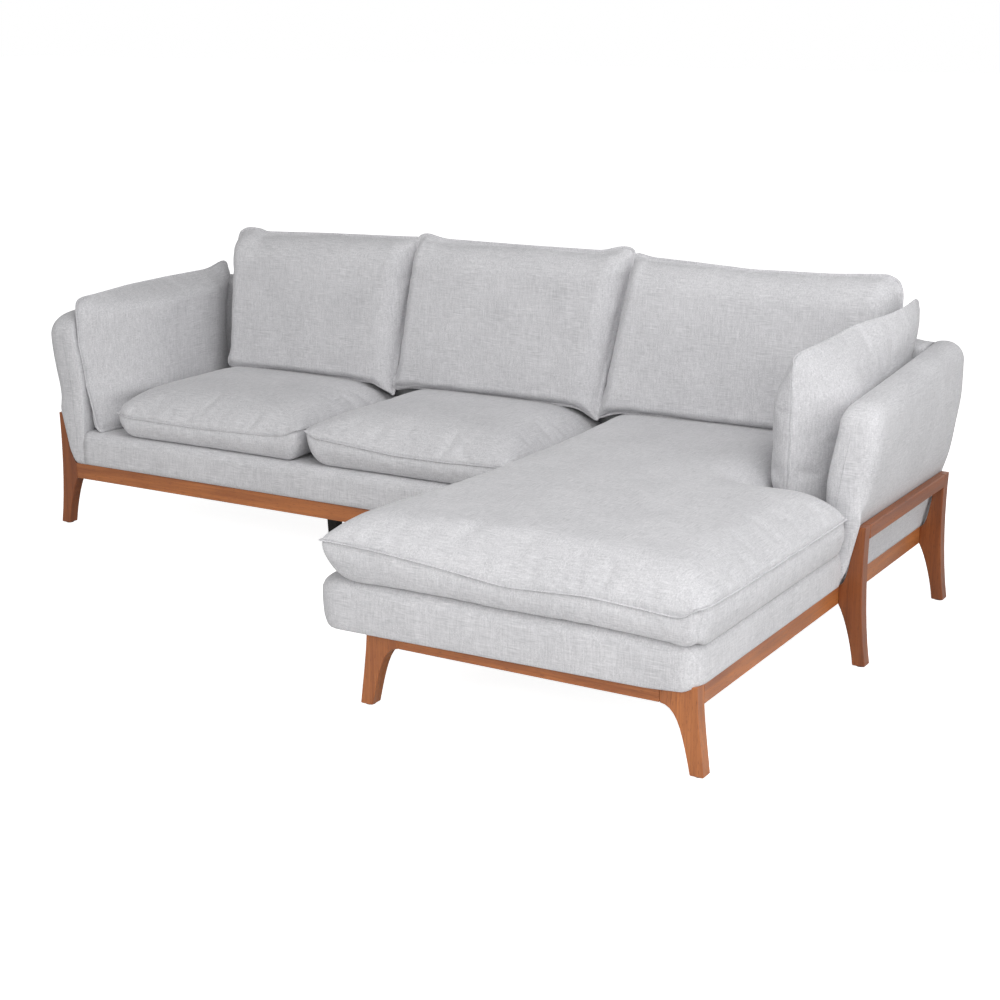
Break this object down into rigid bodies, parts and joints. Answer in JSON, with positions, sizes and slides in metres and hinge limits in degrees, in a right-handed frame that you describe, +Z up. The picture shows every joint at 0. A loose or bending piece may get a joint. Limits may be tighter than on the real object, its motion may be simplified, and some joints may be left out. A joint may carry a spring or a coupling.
{
  "type": "corner sofa",
  "caption": "Low corner sofa with a chaise on its right: loose seat, back and arm cushions on upholstered bases, on a stained wooden rail frame with sabre legs.",
  "frame": {"origin": "on the floor, under the middle of the whole sofa's outline", "axes": "+X to the sofa's right arm (the chaise side), +Y to its back, +Z up"},
  "size_m": [2.696, 1.55, 0.9133],
  "materials": {
    "light_grey_fabric": "light grey heathered weave, matt",
    "stained_wood": "red-brown stained solid wood, satin",
    "black_wood": "black painted wood, satin",
    "plain_timber": "plain sawn timber",
    "dust_cloth": "thin black non-woven cloth",
    "felt": "dense dark felt",
    "zinc_steel": "zinc-plated steel"
  },
  "bodies": {
    "frame": {"arm_frame_left": "plain_timber", "arm_frame_right": "plain_timber", "arm_left": "light_grey_fabric", "arm_rail_left": "stained_wood", "arm_rail_right": "stained_wood", "arm_right": "light_grey_fabric", "back_frame_left": "plain_timber", "back_frame_right": "plain_timber", "back_left": "light_grey_fabric", "back_right": "light_grey_fabric", "base_chaise": "light_grey_fabric", "base_sofa": "light_grey_fabric", "dust_cover_chaise": "dust_cloth", "dust_cover_sofa": "dust_cloth", "end_rail_sofa": "stained_wood", "front_rail_chaise": "stained_wood", "front_rail_sofa": "stained_wood", "glide_chaise_left": "felt", "glide_chaise_right": "felt", "glide_left_front": "felt", "glide_left_rear": "felt", "glide_right_front": "felt", "glide_right_rear": "felt", "glide_support_chaise_rear": "felt", "glide_support_end_front": "felt", "glide_support_end_rear": "felt", "glide_support_middle": "felt", "joining_plate_front": "zinc_steel", "joining_plate_rear": "zinc_steel", "joist_chaise": "plain_timber", "joist_sofa": "plain_timber", "leg_chaise_left": "stained_wood", "leg_chaise_right": "stained_wood", "leg_left_front": "stained_wood", "leg_left_rear": "stained_wood", "leg_right_front": "stained_wood", "leg_right_rear": "stained_wood", "rear_rail_chaise": "stained_wood", "rear_rail_sofa": "stained_wood", "seat_frame_chaise": "plain_timber", "seat_frame_sofa": "plain_timber", "side_rail_chaise": "stained_wood", "side_rail_left": "stained_wood", "side_rail_right": "stained_wood", "support_leg_chaise_rear": "black_wood", "support_leg_end_front": "black_wood", "support_leg_end_rear": "black_wood", "support_leg_middle": "black_wood"},
    "arm_cushion_left": {"arm_cushion_left": "light_grey_fabric"},
    "arm_cushion_right": {"arm_cushion_right": "light_grey_fabric"},
    "back_cushion_left": {"back_cushion_left": "light_grey_fabric"},
    "back_cushion_middle": {"back_cushion_middle": "light_grey_fabric"},
    "back_cushion_right": {"back_cushion_right": "light_grey_fabric"},
    "chaise_cushion": {"chaise_cushion": "light_grey_fabric"},
    "seat_cushion_left": {"seat_cushion_left": "light_grey_fabric"},
    "seat_cushion_middle": {"seat_cushion_middle": "light_grey_fabric"}
  },
  "joints": [
    {"name": "arm_left_lift", "type": "slide", "parent": "frame", "child": "arm_cushion_left", "axis": [0, 0, 1], "range_m": [0, 0.65]},
    {"name": "arm_right_lift", "type": "slide", "parent": "frame", "child": "arm_cushion_right", "axis": [0, 0, 1], "range_m": [0, 0.65]},
    {"name": "back_left_lift", "type": "slide", "parent": "frame", "child": "back_cushion_left", "axis": [0, 0, 1], "range_m": [0, 0.5]},
    {"name": "back_middle_lift", "type": "slide", "parent": "frame", "child": "back_cushion_middle", "axis": [0, 0, 1], "range_m": [0, 0.5]},
    {"name": "back_right_lift", "type": "slide", "parent": "frame", "child": "back_cushion_right", "axis": [0, 0, 1], "range_m": [0, 0.5]},
    {"name": "chaise_slide", "type": "slide", "parent": "frame", "child": "chaise_cushion", "axis": [0, -1, 0], "range_m": [0, 1.45]},
    {"name": "seat_left_slide", "type": "slide", "parent": "frame", "child": "seat_cushion_left", "axis": [0, -1, 0], "range_m": [0, 0.62]},
    {"name": "seat_middle_slide", "type": "slide", "parent": "frame", "child": "seat_cushion_middle", "axis": [0, -1, 0], "range_m": [0, 0.36]}
  ]
}
